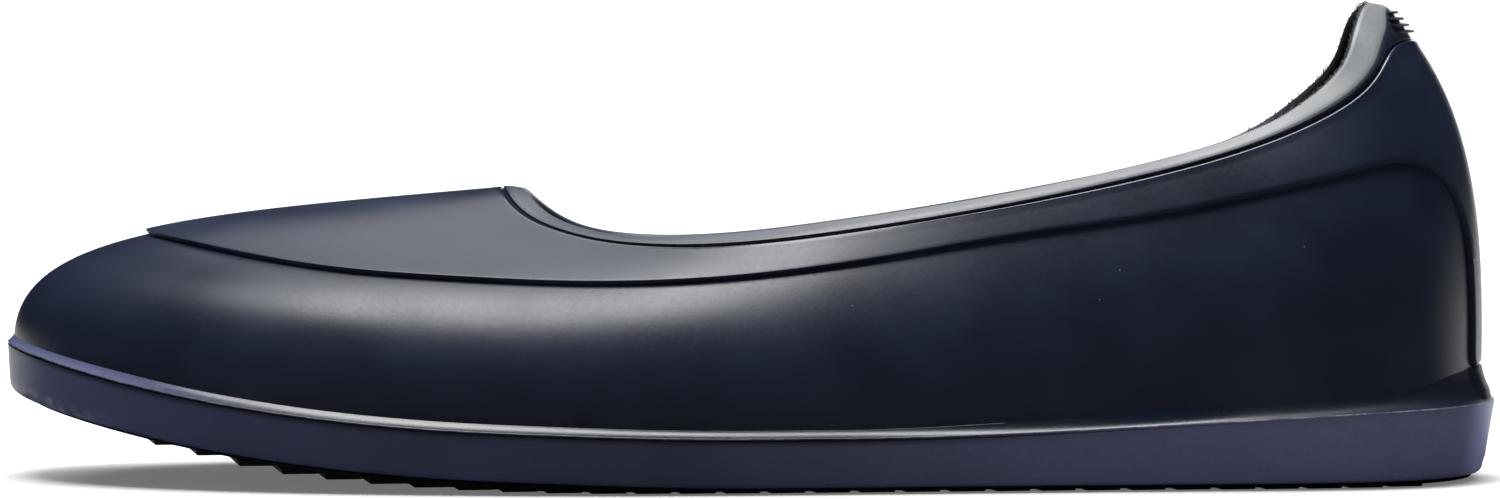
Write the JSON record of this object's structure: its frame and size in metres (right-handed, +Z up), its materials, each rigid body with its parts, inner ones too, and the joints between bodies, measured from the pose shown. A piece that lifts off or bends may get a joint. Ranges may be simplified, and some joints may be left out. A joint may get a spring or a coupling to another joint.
{
  "type": "rubber overshoe",
  "caption": "Low slip-on rubber overshoe with a rolled collar, a ribbed grip tab at the heel, a raised top panel and a lugged outsole.",
  "frame": {"origin": "under the middle of the shoe's bounding box, on the floor that the sole stands on", "axes": "-X towards the toe, +X towards the heel, -Y to the outer (lateral) side of this left shoe, +Y to the inner side, +Z up"},
  "size_m": [0.31, 0.1075, 0.0984],
  "materials": {
    "rubber_navy": "satin moulded rubber with fine scuffs",
    "rubber_navy_panel": "satin moulded rubber with fine scuffs",
    "rubber_binding": "satin rolled rubber",
    "rubber_band": "matte rubber, worn at the edge",
    "rubber_tread": "matte tread rubber",
    "cloth_footbed": "napped knitted cloth"
  },
  "bodies": {
    "root": {"upper": "rubber_navy", "top_panel": "rubber_navy_panel", "collar_binding": "rubber_binding", "sidewall": "rubber_band", "outsole": "rubber_tread", "insole": "cloth_footbed"}
  },
  "joints": []
}
